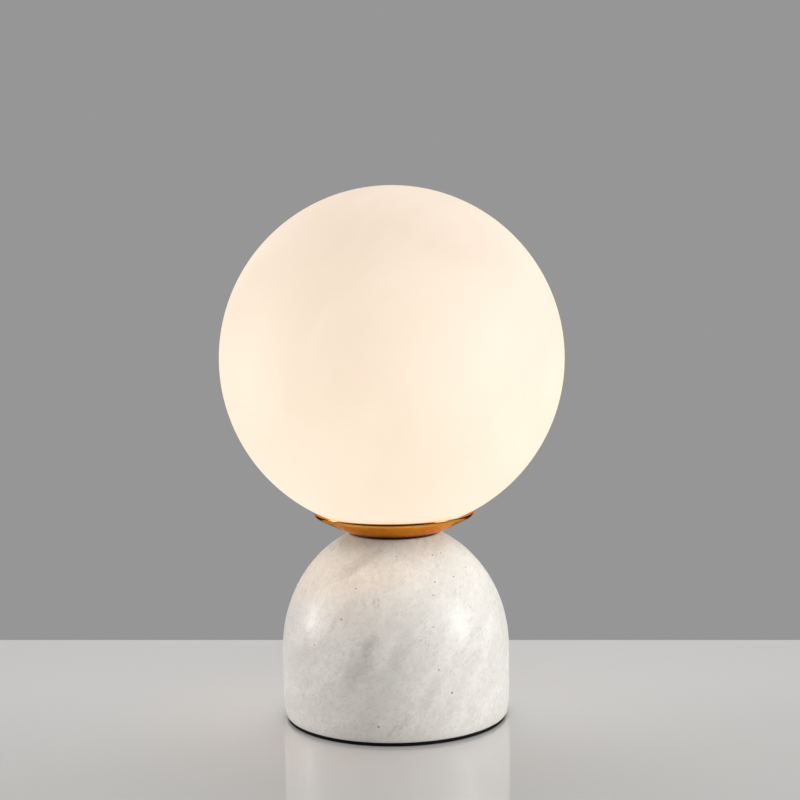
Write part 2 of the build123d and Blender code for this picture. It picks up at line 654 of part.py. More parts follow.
def make_centre_contact():
    """A folded spring strip: foot on the insert, crown under the bulb's tip."""
    crown_z = CONTACT_TOP_Z - CONTACT_THICKNESS
    lower = [
        (CONTACT_FOOT_START, SHELL_Z),
        (CONTACT_FOOT_END, SHELL_Z),
        (CONTACT_CROWN_START, crown_z),
        (CONTACT_CROWN_END, crown_z),
        (CONTACT_TAIL_END, SHELL_Z + CONTACT_TAIL_RISE),
    ]
    upper = [(across, up + CONTACT_THICKNESS) for across, up in reversed(lower)]
    profile = outline(*lower, *upper)
    return extrude(Plane.XZ * profile, CONTACT_WIDTH / 2, both=True)


def make_screw_shell():
    floor_z = SHELL_Z + SHELL_WALL
    profile = band(SHELL_OPENING_RADIUS, SHELL_RADIUS, SHELL_Z, floor_z)
    profile += band(SHELL_BORE_RADIUS, SHELL_RADIUS, SHELL_Z, SHELL_Z + SHELL_HEIGHT)
    return turned(profile)


def make_holder_sleeve():
    """A tapered sleeve that clamps the insert onto the cap and closes round its mouth."""
    top_radius = HOLDER_RADIUS - SLEEVE_TAPER
    lip_low = SLEEVE_TOP_Z - SLEEVE_LIP
    profile = outline(
        (SLEEVE_BORE_RADIUS, SLEEVE_Z),
        (HOLDER_RADIUS, SLEEVE_Z),
        (top_radius, SLEEVE_TOP_Z),
        (SHELL_RADIUS + FIT_GAP, SLEEVE_TOP_Z),
        (SHELL_RADIUS + FIT_GAP, lip_low),
        (top_radius - HOLDER_WALL, lip_low),
        (SLEEVE_BORE_RADIUS, SHELL_Z + REST_GAP),
    )
    return turned(softened(profile, (top_radius, SLEEVE_TOP_Z, SLEEVE_TOP_ROUND)))


# ---- Bulb

def make_bulb_diffuser():
    profile = Pos(0, DIFFUSER_Z) * (Circle(BULB_RADIUS) - Circle(BULB_RADIUS - DIFFUSER_WALL))
    return turned(profile & band(0, BULB_RADIUS, BODY_TOP_Z, DIFFUSER_Z + BULB_RADIUS))


def body_curve(inset):
    """The body's flared side, upright at the screw cap."""
    rim_radius = sqrt(BULB_RADIUS ** 2 - DIFFUSER_DROP ** 2)
    start = (BODY_NECK_RADIUS - inset, BULB_Z + SCREW_CAP_TOP)
    return TangentArc(start, (rim_radius - inset, BODY_TOP_Z), tangent=(0, 1))


def make_bulb_body():
    """A flared housing: a spigot in the screw cap and a ledge for the light board."""
    collar_z = BULB_Z + SCREW_CAP_TOP
    spigot_z = BULB_Z + BODY_SPIGOT_BOTTOM
    spigot_radius = SCREW_CAP_RADIUS - SCREW_CAP_WALL - SCREW_GAP
    outer = body_curve(0)
    inner = body_curve(BODY_WALL)
    flare = make_face([
        outer,
        Line(outer @ 1, inner @ 1),
        inner,
        Line(inner @ 0, outer @ 0),
    ])
    ledge = band(BODY_NECK_RADIUS - BODY_WALL, BOARD_RADIUS + BODY_WALL / 2, collar_z, BOARD_Z)
    ledge &= make_face([outer, Line(outer @ 1, (0, BODY_TOP_Z)), Line((0, BODY_TOP_Z), (0, collar_z)),
                        Line((0, collar_z), outer @ 0)])
    ledge -= band(0, BOARD_RADIUS - BODY_WALL, collar_z, BOARD_Z)
    spigot = band(spigot_radius - BODY_WALL, spigot_radius, spigot_z, collar_z)
    collar = band(spigot_radius - BODY_WALL, BODY_NECK_RADIUS, collar_z, collar_z + BODY_WALL)
    profile = flare + ledge + spigot + collar
    profile -= band(0, BOARD_RADIUS + SCREW_GAP, BOARD_Z, BODY_TOP_Z)
    return turned(profile)


def make_bulb_led_board():
    return ring(0, BOARD_RADIUS, BOARD_Z, BOARD_TOP_Z)


def make_bulb_driver():
    """A circuit board on edge under the light board, with a capacitor and a choke."""
    low = BULB_Z + DRIVER_START
    align = (Align.CENTER, Align.CENTER, Align.MIN)
    driver = Pos(0, 0, low) * Box(DRIVER_WIDTH, DRIVER_THICKNESS, BOARD_Z - low, align=align)
    part_z = BULB_Z + DRIVER_PART_START
    capacitor_y = DRIVER_THICKNESS / 2 + CAPACITOR_RADIUS - DRIVER_PART_SINK
    driver += rod(CAPACITOR_RADIUS, (0, capacitor_y, part_z), (0, capacitor_y, part_z + CAPACITOR_LENGTH))
    choke_y = -(DRIVER_THICKNESS + CHOKE_DEPTH) / 2
    return driver + Pos(0, choke_y, part_z) * Box(CHOKE_SIZE, CHOKE_DEPTH, CHOKE_SIZE, align=align)


def make_bulb_cap():
    """The screw cap without its thread: a thin cup drawn in at the bottom."""
    inner = SCREW_CAP_RADIUS - SCREW_CAP_WALL
    profile = outline(
        (SCREW_CAP_MOUTH, BULB_Z + SCREW_CAP_BOTTOM),
        (SCREW_CAP_RADIUS, BULB_Z + SCREW_CAP_SHOULDER),
        (SCREW_CAP_RADIUS, BULB_Z + SCREW_CAP_TOP),
        (inner, BULB_Z + SCREW_CAP_TOP),
        (inner, BULB_Z + SCREW_CAP_SHOULDER + SCREW_CAP_WALL / 2),
        (SCREW_CAP_MOUTH, BULB_Z + SCREW_CAP_BOTTOM + 2 * SCREW_CAP_WALL),
    )
    return turned(profile)


def make_bulb_insulator():
    radius = SCREW_CAP_MOUTH - SCREW_GAP
    profile = outline(
        (0, BULB_Z + INSULATOR_BOTTOM),
        (INSULATOR_FOOT_RADIUS, BULB_Z + INSULATOR_BOTTOM),
        (radius, BULB_Z + SCREW_CAP_BOTTOM),
        (radius, BULB_Z + SCREW_CAP_BOTTOM + INSULATOR_DEPTH),
        (0, BULB_Z + SCREW_CAP_BOTTOM + INSULATOR_DEPTH),
    )
    return turned(profile)


def make_bulb_contact():
    profile = band(0, TIP_RADIUS, BULB_Z, BULB_Z + INSULATOR_BOTTOM)
    return turned(softened(profile, (TIP_RADIUS, BULB_Z, INSULATOR_BOTTOM / 2)))


# ---- The lamp, from the table up

NODES = {
    "base_pad": make_base_pad(),
    "marble_base": make_marble_base(),
    "cable_bush": make_cable_bush(),
    "clamp_plate": make_clamp_plate(),
    "lower_lock_washer": make_lock_washer(LOWER_WASHER_Z),
    "lower_nut": make_nut(LOWER_NUT_Z),
    "threaded_tube": make_threaded_tube(),
    "tube_end_bush": make_tube_end_bush(),
    "terminal_block": make_terminal_block(),
    "terminal_clamps": make_terminal_clamps(),
    "terminal_screws": make_terminal_screws(),
    "block_fixing_screws": make_block_fixing_screws(),
    "earth_tag": make_earth_tag(),
    "earth_screw": make_earth_screw(),
    "lead_line": make_tube_lead("lead_line", -1),
    "lead_neutral": make_tube_lead("lead_neutral", 1),
    "lead_earth": make_lead_earth(),
    "top_gasket": make_top_gasket(),
    "dish": make_dish(),
    "dish_lock_washer": make_lock_washer(DISH_FLOOR_Z),
    "dish_nut": make_nut(UPPER_NUT_Z),
    "globe_seal": make_globe_seal(),
    "globe": make_globe(),
    "holder_cap": make_holder_cap(),
    "holder_lock_screw": make_holder_lock_screw(),
    "holder_insert": make_holder_insert(),
    "holder_terminal_screws": make_holder_terminal_screws(),
    "centre_contact": make_centre_contact(),
    "screw_shell": make_screw_shell(),
    "holder_sleeve": make_holder_sleeve(),
    "bulb_contact": make_bulb_contact(),
    "bulb_insulator": make_bulb_insulator(),
    "bulb_cap": make_bulb_cap(),
    "bulb_body": make_bulb_body(),
    "bulb_driver": make_bulb_driver(),
    "bulb_led_board": make_bulb_led_board(),
    "bulb_diffuser": make_bulb_diffuser(),
}

os.makedirs("parts", exist_ok=True)
for name, shape in NODES.items():
    export_step(shape, f"parts/{name}.step")
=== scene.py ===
import json
from math import acos, cos, degrees, pi, radians, sin, sqrt, tan

import bmesh
import bpy
from mathutils import Matrix, Vector


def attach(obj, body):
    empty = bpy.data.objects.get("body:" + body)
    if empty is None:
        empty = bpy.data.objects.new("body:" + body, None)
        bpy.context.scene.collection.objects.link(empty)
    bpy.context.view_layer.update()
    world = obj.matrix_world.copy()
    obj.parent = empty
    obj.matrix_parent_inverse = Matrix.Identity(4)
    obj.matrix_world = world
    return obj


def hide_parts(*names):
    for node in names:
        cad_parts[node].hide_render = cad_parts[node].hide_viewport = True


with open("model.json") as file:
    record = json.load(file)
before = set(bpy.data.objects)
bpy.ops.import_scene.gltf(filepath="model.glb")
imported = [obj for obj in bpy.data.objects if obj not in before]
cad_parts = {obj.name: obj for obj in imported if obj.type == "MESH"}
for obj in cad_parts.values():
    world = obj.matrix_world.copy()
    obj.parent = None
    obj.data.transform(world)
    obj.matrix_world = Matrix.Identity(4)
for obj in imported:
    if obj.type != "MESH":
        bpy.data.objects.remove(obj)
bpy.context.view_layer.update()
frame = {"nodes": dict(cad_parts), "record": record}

# Sizes and places here are millimetres; meshes, lamps and the camera get them in metres.
# Colours are linear; tone() turns the 0 to 255 values of a display into them.

MM = 0.001
SHARP_EDGE = radians(32)
ORIGIN = (0, 0, 0)


# ---- Sizes. A name that ends in EDGE, BEND or CORNER is the radius that rounds that place.

STONE_Z = 2.6
STONE_TOP_Z = 135.7
STONE_FOOT_EDGE = 0.25
STONE_TOP_EDGE = 0.8
WALL_TOP_Z = 51.6
WALL_PARTS = 6
BASE_RADIUS = 83.3
FOOT_TUCK = 2.5
FOOT_CURVE = 19.6
TOP_FLAT_RADIUS = 33.2
CAVITY_RADIUS = 45.0
CAVITY_TOP_Z = 40.2
CAVITY_CORNER = 3.0
CAVITY_EDGE = 0.5
TUBE_HOLE_RADIUS = 6.0
TUBE_HOLE_EDGE = 0.3

INLET_Z = 15.0
INLET_CHANNEL_RADIUS = 5.3
SPOT_FACE_RADIUS = 7.6
SPOT_FACE_Y = 81.45
SPOT_FACE_WALL = 1.2
SPOT_FACE_BEVEL = 0.35

PAD_RADIUS = 80.5
PAD_LOW_EDGE = 0.6
PAD_TOP_EDGE = 0.5
GASKET_TOP_Z = 136.8

DISH_HOLE_RADIUS = 5.05
DISH_FLOOR_RADIUS = 32.0
DISH_FLOOR_BEND = 3.0
DISH_RIM_RADIUS = 58.375
DISH_RIM_EDGE = 0.5
DISH_WALL = 1.1
DISH_TOP_Z = 151.5
DISH_LIP = 2.4
LIP_BEND = 2.7
BOWL_RADIUS = 159.0

GLOBE_RADIUS = 125.0
GLOBE_WALL = 2.6
GLOBE_Z = 263.42
OPENING_RADIUS = 40.0
NECK_LOW_Z = 144.27
NECK_EDGE = 0.7

THREAD_PITCH = 3.63
THREAD_STEP = 0.3           # height between the rings of points that carry a thread

BULB_Z = 178.3
CAP_LOW_Z = BULB_Z + 4.6
CAP_SHOULDER_Z = BULB_Z + 7.4
CAP_TOP_Z = BULB_Z + 26.0
CAP_THROAT_RADIUS = 11.05
CAP_RADII = (13.05, 12.55)
CAP_SHOULDER_RADII = (12.9, 12.4)
CAP_ROWS = (CAP_SHOULDER_Z + 0.2, CAP_TOP_Z - 0.2)
CAP_THREAD = (CAP_SHOULDER_Z + 0.3, CAP_TOP_Z - 2.4, 0.85)

SHELL_Z = 174.7
SHELL_TOP_Z = SHELL_Z + 24.0
SHELL_FLOOR = 0.4
SHELL_HOLE_RADIUS = 9.5
SHELL_RADII = (13.93, 13.73)
SHELL_FLOOR_RADII = (13.5, 13.3)
SHELL_ROWS = (SHELL_Z + 0.8, SHELL_TOP_Z)
SHELL_THREAD = (SHELL_Z + 1.5, SHELL_TOP_Z - 1.0, 0.58)

SLEEVE_Z = 164.7
SLEEVE_TOP_Z = 201.3
SLEEVE_RADIUS = 20.5
SLEEVE_BORE = 18.9
SLEEVE_MOUTH = 14.0
SLEEVE_TAPER = 0.7
SLEEVE_LIP = 2.0
SLEEVE_SHOULDER_Z = SHELL_Z + 0.3
SLEEVE_FOOT_EDGE = 0.2
SLEEVE_TOP_EDGE = 0.8
SLEEVE_BORE_EDGE = 0.3
SLEEVE_ROWS = 36
GRIP_GROOVES = 40
GROOVE_DEPTH = 0.55
GROOVE_RUN_OUT = 1.5
GROOVE_LOW_Z = SLEEVE_Z + 3.0
GROOVE_TOP_Z = SLEEVE_TOP_Z - 4.0


# ---- Numbers and outlines

def tone(red, green, blue):
    parts = [v / 255 for v in (red, green, blue)]
    return tuple(v / 12.92 if v <= 0.04045 else ((v + 0.055) / 1.055) ** 2.4 for v in parts)


def fade(value, low, high, run):
    """1 between two ends, falling to 0 over the run inside each of them."""
    return min(1, max(0, (value - low) / run)) * min(1, max(0, (high - value) / run))


def arc(centre, radii, start, end, steps):
    """Points along an ellipse's arc, angles in degrees."""
    points = []
    for i in range(steps + 1):
        angle = radians(start + (end - start) * i / steps)
        points.append((centre[0] + radii[0] * cos(angle), centre[1] + radii[1] * sin(angle)))
    return points


def rounded(corners, steps=6):
    """A closed outline in which each corner with a third number is rounded by that radius."""
    points = []
    count = len(corners)
    for i, corner in enumerate(corners):
        here = Vector(corner[:2])
        if len(corner) < 3:
            points.append(tuple(here))
            continue
        before = (Vector(corners[i - 1][:2]) - here).normalized()
        after = (Vector(corners[(i + 1) % count][:2]) - here).normalized()
        half = before.angle(after) / 2
        reach = corner[2] / tan(half)
        centre = here + (before + after).normalized() * corner[2] / sin(half)
        start = here + before * reach - centre
        end = here + after * reach - centre
        turn = start.angle_signed(end)
        for k in range(steps + 1):
            arm = start.copy()
            arm.rotate(Matrix.Rotation(-turn * k / steps, 2))
            points.append(tuple(centre + arm))
    return points


# ---- Meshes and objects

def in_scene(name, data):
    """A new object that holds a mesh, a lamp or a camera."""
    thing = bpy.data.objects.new(name, data)
    bpy.context.scene.collection.objects.link(thing)
    return thing


def to_mesh(name, maker):
    mesh = bpy.data.meshes.new(name)
    maker.to_mesh(mesh)
    maker.free()
    return mesh


def shade(maker):
    """Smooth faces, with sharp edges where the surface turns."""
    bmesh.ops.recalc_face_normals(maker, faces=maker.faces)
    for face in maker.faces:
        face.smooth = True
    for edge in maker.edges:
        edge.smooth = len(edge.link_faces) < 2 or edge.calc_face_angle(0) < SHARP_EDGE
    return maker


def turned(profile, segments, shape=None, closed=True):
    """Turns an outline of (radius, height) points about Z. shape gives a point's radius by its angle."""
    maker = bmesh.new()
    rings = []
    for radius, height in profile:
        if radius < 1e-6:
            rings.append([maker.verts.new((0, 0, height * MM))])
            continue
        ring = []
        for i in range(segments):
            angle = 2 * pi * i / segments
            r = shape(radius, height, angle) if shape else radius
            ring.append(maker.verts.new((r * sin(angle) * MM, -r * cos(angle) * MM, height * MM)))
        rings.append(ring)
    pairs = list(zip(rings, rings[1:]))
    if closed:
        pairs.append((rings[-1], rings[0]))
    for low, high in pairs:
        for i in range(segments):
            k = (i + 1) % segments
            corners = [low[i % len(low)], low[k % len(low)], high[k % len(high)], high[i % len(high)]]
            corners = [v for n, v in enumerate(corners) if v not in corners[:n]]
            if len(corners) > 2:
                maker.faces.new(corners)
    return shade(maker)


def cut(piece, cutter_maker):
    """Takes the cutter's shape out of the piece for good."""
    cutter = in_scene("cutter", to_mesh("cutter", cutter_maker))
    modifier = piece.modifiers.new("cut", "BOOLEAN")
    modifier.operation = "DIFFERENCE"
    modifier.solver = "EXACT"
    modifier.object = cutter
    bpy.context.view_layer.update()
    solid = piece.evaluated_get(bpy.context.evaluated_depsgraph_get())
    result = bpy.data.meshes.new_from_object(solid)
    piece.modifiers.clear()
    piece.data = result
    bpy.data.objects.remove(cutter)
    maker = bmesh.new()
    maker.from_mesh(result)
    shade(maker).to_mesh(result)
    maker.free()


# ---- Node trees

class Nodes:
    """Adds nodes to a tree: a value that is a socket is linked, any other is set."""

    def __init__(self, tree):
        self.tree = tree

    def feed(self, socket, value):
        if isinstance(value, bpy.types.NodeSocket):
            self.tree.links.new(value, socket)
        elif socket.type == "RGBA" and len(value) == 3:
            socket.default_value = (*value, 1)
        else:
            socket.default_value = value

    def node(self, kind, inputs=None, output=0, **settings):
        made = self.tree.nodes.new("ShaderNode" + kind)
        for name, value in settings.items():
            setattr(made, name, value)
        for name, value in (inputs or {}).items():
            self.feed(made.inputs[name], value)
        return made.outputs[output]

    def vector(self, operation, *values, **named):
        scalar = operation in ("LENGTH", "DOT_PRODUCT", "DISTANCE")
        return self.node("VectorMath", {**dict(enumerate(values)), **named}, "Value" if scalar else "Vector",
                         operation=operation)

    def math(self, operation, *values, clamp=False):
        return self.node("Math", dict(enumerate(values)), operation=operation, use_clamp=clamp)

    def span(self, value, low, high, to_low=0.0, to_high=1.0, kind="SMOOTHSTEP"):
        inputs = {"Value": value, "From Min": low, "From Max": high, "To Min": to_low, "To Max": to_high}
        return self.node("MapRange", inputs, "Result", interpolation_type=kind)

    def mix(self, share, first, second, blend="MIX"):
        return self.node("Mix", {0: share, 6: first, 7: second}, 2, data_type="RGBA", blend_type=blend)

    def axes(self, vector):
        """A vector's three parts."""
        return tuple(self.node("SeparateXYZ", {0: vector}).node.outputs)


class Finish(Nodes):
    """Builds one node material."""

    def __init__(self, name, **constants):
        self.material = bpy.data.materials.new(name)
        self.material.use_nodes = True
        super().__init__(self.material.node_tree)
        self.shader = self.tree.nodes["Principled BSDF"]
        here = self.node("TexCoord", output="Object")
        self.place = self.vector("SCALE", here, Scale=1 / MM)
        self.set(**constants)

    def set(self, **values):
        for name, value in values.items():
            self.feed(self.shader.inputs[name.replace("_", " ")], value)

    def noise(self, size, detail=3.0, roughness=0.5, place=None, output="Fac", distortion=0.0):
        inputs = {"Vector": place or self.place, "Scale": 1 / size, "Detail": detail,
                  "Roughness": roughness, "Distortion": distortion}
        return self.node("TexNoise", inputs, output)

    def wander(self, size, detail, width, roughness=0.5):
        """Noise from minus to plus half of the width."""
        centred = self.math("SUBTRACT", self.noise(size, detail, roughness), 0.5)
        return self.math("MULTIPLY", centred, width)

    def ridge(self, detail, roughness, place):
        """0 on winding lines through the noise, rising away from them."""
        centred = self.math("SUBTRACT", self.noise(1, detail, roughness, place), 0.5)
        return self.math("ABSOLUTE", centred)

    def cells(self, size, output="Distance"):
        return self.node("TexVoronoi", {"Vector": self.place, "Scale": 1 / size}, output)

    def stretched(self, centre, turn, sizes, place=None):
        """Places measured from a centre, along turned axes, in units of the three sizes."""
        inputs = {"Vector": place or self.place, "Location": centre,
                  "Rotation": [radians(a) for a in turn], "Scale": sizes}
        return self.node("Mapping", inputs, vector_type="TEXTURE")

    def bump(self, *layers):
        """Finishes the material. Layers are (height, strength, depth), the broadest first."""
        normal = None
        for height, strength, depth in layers:
            inputs = {"Height": height, "Strength": strength, "Distance": depth * MM}
            if normal:
                inputs["Normal"] = normal
            normal = self.node("Bump", inputs)
        self.set(Normal=normal)
        return self.material


# ---- Marble

VEIN_TURN = (0, 40, 20)
VEIN_WAVE = (24, 24, 24)
VEIN_SIZES = (17, 52, 52)
HAIR_SIZES = (7, 40, 40)
STREAK_SIZES = (1.1, 3.6, 3.6)

STONE_GREY = tone(237, 235, 229)
STONE_WHITE = tone(248, 246, 241)
MOTTLE = tone(224, 219, 208)
STREAK = tone(202, 195, 184)
VEIN = tone(176, 174, 168)
HAIR = tone(158, 155, 148)
PATCH_TONE = tone(154, 140, 122)
MARK = tone(120, 106, 92)
HALO = tone(250, 246, 240)

# darker brownish patches: centre, turn about Y in degrees, half sizes, darkness
DARK_PATCHES = (((-18, -79, 71), 32, (4.5, 30, 11), 0.32),
           ((-26, -79, 54), 32, (11, 30, 24), 0.27),
           ((-36, -76, 34), 25, (12, 30, 20), 0.06),
           ((24, -78, 36), 35, (6, 30, 18), 0.2),
           ((3, -80, 64), 20, (7, 30, 24), 0.1),
           ((-62, -52, 62), 40, (7, 30, 22), 0.12),
           ((-24, -50, 122), 60, (5, 30, 24), 0.3))
# fine lines: start, end, half width, darkness
LINES = (((-46.7, -68.9, 34.1), (-35.1, -75.5, 44.3), 0.6, 0.22),
         ((-61.4, -56.3, 35.4), (-53.5, -63.8, 42.2), 0.6, 0.18),
         ((-45.5, -16.8, 126.2), (-35.4, -17.3, 132.4), 0.9, 0.95))
# open pits at the front: centre and half width
PITS = (((38.6, -73.8, 35.4), 0.75), ((29.6, -77.8, 52.9), 0.6), ((1.5, -47.8, 126.7), 0.5),
        ((27.1, -40.5, 125.9), 0.6), ((33.0, -35.3, 126.3), 0.5), ((28.0, -57.7, 110.1), 0.65),
        ((50.7, -32.1, 115.2), 0.5), ((41.5, -47.4, 111.6), 0.45), ((-37.4, -67.2, 86.7), 0.6),
        ((-56.8, -59.3, 66.9), 0.55), ((-27.1, -60.7, 106.8), 0.5), ((-12.3, -82.2, 14.7), 0.6))
# finer pits all over: spacing, half width as a share of it, and the share of places left without one
FINE_PITS = ((15, 0.045, 0.5), (7, 0.05, 0.8))


def marble_ground(f):
    """The marble's colour without its marks, and how strongly a hair vein shows at each place."""
    bent = f.vector("MULTIPLY_ADD", f.noise(60, 3, output="Color"), VEIN_WAVE, f.place)
    along = f.stretched(ORIGIN, VEIN_TURN, VEIN_SIZES, bent)
    clouds = f.span(f.noise(1, 5, 0.6, along), 0.34, 0.68)
    colour = f.mix(clouds, STONE_GREY, STONE_WHITE)
    mottle = f.span(f.noise(5, 5, 0.7), 0.4, 0.66)
    colour = f.mix(f.math("MULTIPLY", mottle, 0.4), colour, MOTTLE)
    streaks = f.noise(1, 4, 0.7, f.stretched((11, 3, 5), VEIN_TURN, STREAK_SIZES, bent))
    colour = f.mix(f.span(streaks, 0.5, 0.68, 0, 0.38), colour, STREAK)
    vein = f.span(f.ridge(5, 0.62, along), 0.0, 0.03, 1, 0)
    vein = f.math("MULTIPLY", vein, f.span(f.noise(38, 3), 0.42, 0.62))
    colour = f.mix(f.math("MULTIPLY", vein, 0.12), colour, VEIN)
    hair = f.span(f.ridge(6, 0.66, f.stretched((31, 7, 0), VEIN_TURN, HAIR_SIZES, bent)), 0.0, 0.014, 1, 0)
    hair = f.math("MULTIPLY", hair, f.span(f.noise(24, 3), 0.52, 0.66))
    hair = f.math("MULTIPLY", hair, 0.2)
    return f.mix(hair, colour, HAIR), hair


def add_dark_patches(f, colour):
    ragged = f.wander(7, 5, 1.3, 0.65)
    for centre, turn, sizes, dark in DARK_PATCHES:
        away = f.vector("LENGTH", f.stretched(centre, (0, turn, 0), sizes))
        colour = f.mix(f.span(f.math("ADD", away, ragged), 0.1, 1.15, dark, 0), colour, PATCH_TONE)
    return colour


def line_mark(f, start, end, width, dark):
    """A straight mark between two points with a ragged edge."""
    run = Vector(end) - Vector(start)
    reached = f.vector("DOT_PRODUCT", f.vector("SUBTRACT", f.place, start), tuple(run))
    share = f.math("DIVIDE", reached, run.length_squared, clamp=True)
    nearest = f.vector("MULTIPLY_ADD", f.node("CombineXYZ", {i: share for i in range(3)}), tuple(run), start)
    off = f.math("SUBTRACT", f.vector("DISTANCE", f.place, nearest), f.wander(2.2, 3, width * 2.4))
    return f.span(off, -0.5 * width, 0.6 * width, dark, 0)


def off_pits(f):
    """How far each place is outside the nearest of the placed pits."""
    off = None
    for centre, width in PITS:
        away = f.math("SUBTRACT", f.vector("DISTANCE", f.place, centre), width)
        off = f.math("MINIMUM", off, away) if off else away
    return f.math("ADD", off, f.wander(1.1, 2, 1.2))


def fine_pits(f, size, width, bare):
    chosen = f.math("GREATER_THAN", f.node("SeparateColor", {0: f.cells(size, "Color")}), bare)
    away = f.math("ADD", f.cells(size), f.math("MULTIPLY", f.noise(0.7, 2), 0.05))
    return f.math("MULTIPLY", f.span(away, width, width + 0.03, 0.6, 0), chosen)


def make_marble():
    """Honed white marble: faint clouds and slanting veins, a few darker brownish patches, fine grain and
    small open pits.
    """
    f = Finish("marble", Specular_IOR_Level=0.42, Coat_Weight=0.03, Coat_Roughness=0.16)
    colour, marks = marble_ground(f)
    grain = f.noise(0.9, 2, 0.7)
    colour = f.mix(0.08, add_dark_patches(f, colour), f.span(grain, 0.3, 0.7), "OVERLAY")
    off = off_pits(f)
    layers = [line_mark(f, *line) for line in LINES]
    layers.append(f.span(off, -0.3, 0.35, 0.8, 0))
    layers += [fine_pits(f, *row) for row in FINE_PITS]
    for layer in layers:
        marks = f.math("MAXIMUM", marks, layer)
    halo = f.math("MULTIPLY", f.span(off, 0.3, 0.7), f.span(off, 0.7, 1.5, 0.5, 0))
    colour = f.mix(marks, f.mix(halo, colour, HALO), MARK)
    rough = f.math("ADD", f.span(f.noise(30, 4), 0.3, 0.7, 0.36, 0.44), f.math("MULTIPLY", marks, 0.3))
    f.set(Base_Color=colour, Roughness=rough)
    return f.bump((f.noise(26, 2), 0.1, 0.4), (grain, 0.05, 0.02), (marks, 0.7, -0.3))


# ---- Glass, brass and foam

GLOW_Z = (145, 386)         # from the neck to the crown
OPAL_BODY = ((0.235, 0.235, 0.23), (0.255, 0.255, 0.25))
BRASS = (0.84, 0.42, 0.12)
BRASS_TARNISH = (0.72, 0.32, 0.075)
BRASS_BRIGHT = (0.88, 0.44, 0.12)
BRASS_GRAZING = (1.0, 0.52, 0.2)
FOAM = ((0.002, 0.002, 0.002), (0.008, 0.008, 0.008))


def make_opal():
    """Opal glass with the bulb alight behind it: an even warm glow with faint clouding."""
    f = Finish("opal_glass", Roughness=0.55, IOR=1.45, Specular_IOR_Level=0.22)
    level = f.span(f.axes(f.place)[2], *GLOW_Z, kind="LINEAR")
    swirl = f.noise(90, 4, distortion=0.8)
    clouding = f.span(swirl, 0.3, 0.7)
    glow = f.mix(level, tone(252, 230, 203), tone(246, 221, 195))
    glow = f.mix(f.span(swirl, 0.3, 0.7, 0, 0.2), glow, tone(251, 237, 211))
    strength = f.span(level, 0.35, 1, 0.885, 0.75)
    strength = f.math("MULTIPLY", strength, f.span(swirl, 0.2, 0.8, 0.985, 1.015))
    f.set(Base_Color=f.mix(clouding, *OPAL_BODY), Emission_Color=glow, Emission_Strength=strength)
    return f.bump((f.noise(40, 2), 0.05, 0.2), (f.noise(1.6, 3), 0.02, 0.01))


def make_spun_brass():
    """Polished spun brass: fine turning lines round the axis and faint tarnish."""
    f = Finish("spun_brass", Metallic=1.0, Specular_Tint=BRASS_GRAZING,
               Coat_Weight=0.12, Coat_Roughness=0.12)
    x, y, z = f.axes(f.place)
    radius = f.math("SQRT", f.math("ADD", f.math("MULTIPLY", x, x), f.math("MULTIPLY", y, y)))
    turn = f.math("ARCTAN2", x, y)
    lathe = f.node("CombineXYZ", {0: radius, 1: f.math("MULTIPLY", turn, 0.6), 2: f.math("MULTIPLY", z, 2)})
    lines = f.noise(0.22, 4, 0.7, lathe)
    tarnish = f.noise(13, 5, 0.6)
    colour = f.mix(f.span(tarnish, 0.35, 0.7), BRASS, BRASS_TARNISH)
    colour = f.mix(f.span(lines, 0.3, 0.7, 0, 0.12), colour, BRASS_BRIGHT)
    rough = f.math("ADD", f.span(lines, 0.3, 0.7, 0.12, 0.19), f.span(tarnish, 0.4, 0.75, 0, 0.06))
    f.set(Base_Color=colour, Roughness=rough)
    return f.bump((f.noise(18, 2), 0.06, 0.3), (lines, 0.06, 0.02))


def make_foam():
    """Black closed-cell foam with its small cells."""
    f = Finish("foam", Specular_IOR_Level=0.15)
    cell = f.cells(0.45)
    f.set(Base_Color=f.mix(f.span(cell, 0.1, 0.7), *FOAM),
          Roughness=f.span(f.noise(6), 0.3, 0.7, 0.75, 0.92))
    return f.bump((cell, 0.5, 0.12), (f.noise(4, 3), 0.2, 0.1))


# ---- Plastics, rubbers, metals and ceramic

# colour, roughness, grain size, grain depth, spread of shade, share of light scattered inside
MOULDED = {
    "dark_rubber": ((0.012, 0.010, 0.009), 0.62, 0.6, 0.02, 0.12, 0.0),
    "silicone": ((0.66, 0.65, 0.62), 0.38, 0.8, 0.02, 0.05, 0.2),
    "black_plastic": ((0.014, 0.014, 0.015), 0.34, 0.35, 0.012, 0.12, 0.0),
    "nylon": ((0.70, 0.69, 0.64), 0.42, 0.7, 0.02, 0.05, 0.0),
    "white_plastic": ((0.78, 0.78, 0.76), 0.3, 0.45, 0.01, 0.03, 0.0),
    "black_glass": ((0.006, 0.006, 0.007), 0.12, 1.5, 0.02, 0.12, 0.0),
    "brown_pvc": (tone(92, 52, 30), 0.4, 0.6, 0.02, 0.12, 0.0),
    "blue_pvc": (tone(34, 82, 160), 0.4, 0.6, 0.02, 0.12, 0.0),
}
ZINC = ((0.56, 0.57, 0.59), (0.50, 0.50, 0.46), 0.3)
# colour, colour of its dull spots, roughness, and a screw's pitch
PLATED = {
    "zinc_steel": ZINC,
    "tube_thread": (*ZINC, 1.0),
    "contact_brass": ((0.80, 0.58, 0.26), (0.62, 0.40, 0.16), 0.24),
    "nickel": ((0.68, 0.66, 0.62), (0.56, 0.53, 0.48), 0.2),
    "solder": ((0.50, 0.50, 0.52), (0.36, 0.36, 0.37), 0.34),
}
